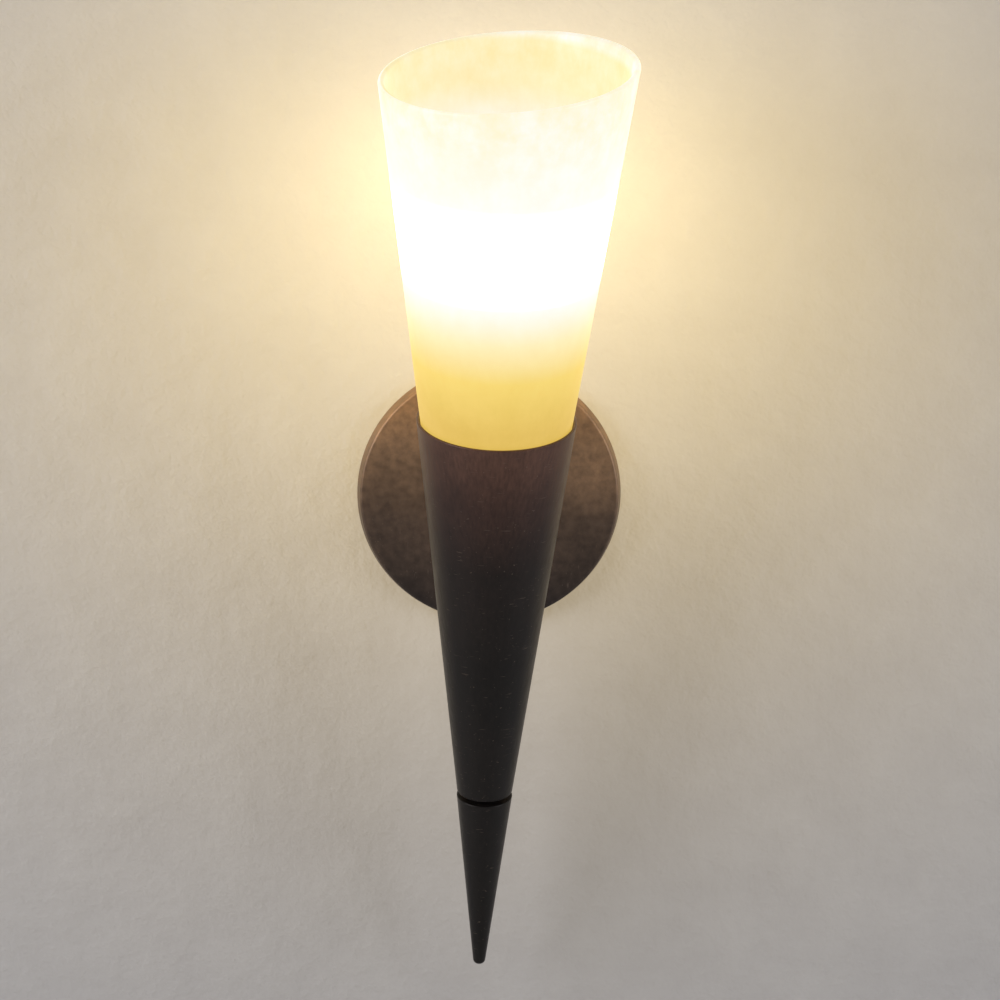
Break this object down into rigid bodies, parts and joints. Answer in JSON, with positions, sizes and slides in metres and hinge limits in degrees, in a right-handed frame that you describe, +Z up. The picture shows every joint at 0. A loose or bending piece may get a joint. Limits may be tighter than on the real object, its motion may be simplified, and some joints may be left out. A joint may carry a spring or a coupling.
{
  "type": "torch sconce",
  "caption": "Wall light: a slim bronze torch cone that leans out from a round wall plate, with a flared cream glass shade open at the top.",
  "frame": {"origin": "on the wall face, midway between the two wall screw slots", "axes": "+Z up, +Y into the wall, the room at -Y, +X to the right as seen from the room"},
  "size_m": [0.13, 0.182, 0.4695],
  "materials": {
    "bronze_metal": "satin dark bronze",
    "dark_washer": "matte black",
    "zinc_steel": "zinc plated",
    "brass_parts": "plain",
    "nickel_cap": "satin",
    "shade_glass": "mottled cream",
    "clear_glass": "clear",
    "black_glass": "gloss",
    "silicone": "translucent",
    "holder_plastic": "moulded",
    "white_ceramic": "plain",
    "filament": "phosphor coated",
    "live_insulation": "plain",
    "neutral_insulation": "plain"
  },
  "bodies": {
    "fixture": {"wall_plate": "bronze_metal", "torch_cone": "bronze_metal", "arm_spacer": "bronze_metal", "wall_strap": "zinc_steel", "plate_grub_screws": "zinc_steel", "arm_nipple": "zinc_steel", "plate_lock_washer": "zinc_steel", "plate_nut": "zinc_steel", "saddle_washer": "zinc_steel", "cone_nut": "zinc_steel", "centre_tube": "zinc_steel", "tube_nuts": "zinc_steel", "shade_gallery": "zinc_steel", "cone_plug": "brass_parts", "screw_shell": "brass_parts", "contact_spring": "brass_parts", "earth_screw": "brass_parts", "earth_washer": "brass_parts", "shade_gasket": "silicone", "holder_skirt": "holder_plastic", "holder_body": "holder_plastic", "cable_bush": "holder_plastic", "holder_core": "white_ceramic", "live_lead": "live_insulation", "neutral_lead": "neutral_insulation"},
    "shade": {"glass_shade": "shade_glass"},
    "bulb": {"bulb_contact": "brass_parts", "bulb_insulator": "black_glass", "bulb_cap": "nickel_cap", "bulb_glass": "clear_glass", "bulb_stem": "clear_glass", "bulb_filaments": "filament", "filament_wires": "zinc_steel"},
    "finial_end": {"finial": "bronze_metal", "finial_stud": "zinc_steel", "finial_washer": "dark_washer"}
  },
  "joints": [
    {"name": "shade_lift", "type": "slide", "parent": "fixture", "child": "shade", "axis": [0, -0.1925, 0.9813], "range_m": [0, 0.15]},
    {"name": "bulb_unscrew", "type": "hinge", "parent": "fixture", "child": "bulb", "pos_m": [0, -0.09636, 0.08341], "axis": [0, -0.1925, 0.9813], "range_deg": [0, 1800]},
    {"name": "finial_unscrew", "type": "hinge", "parent": "fixture", "child": "finial_end", "pos_m": [0, -0.05284, -0.13846], "axis": [0, 0.1925, -0.9813], "range_deg": [0, 1800]}
  ]
}
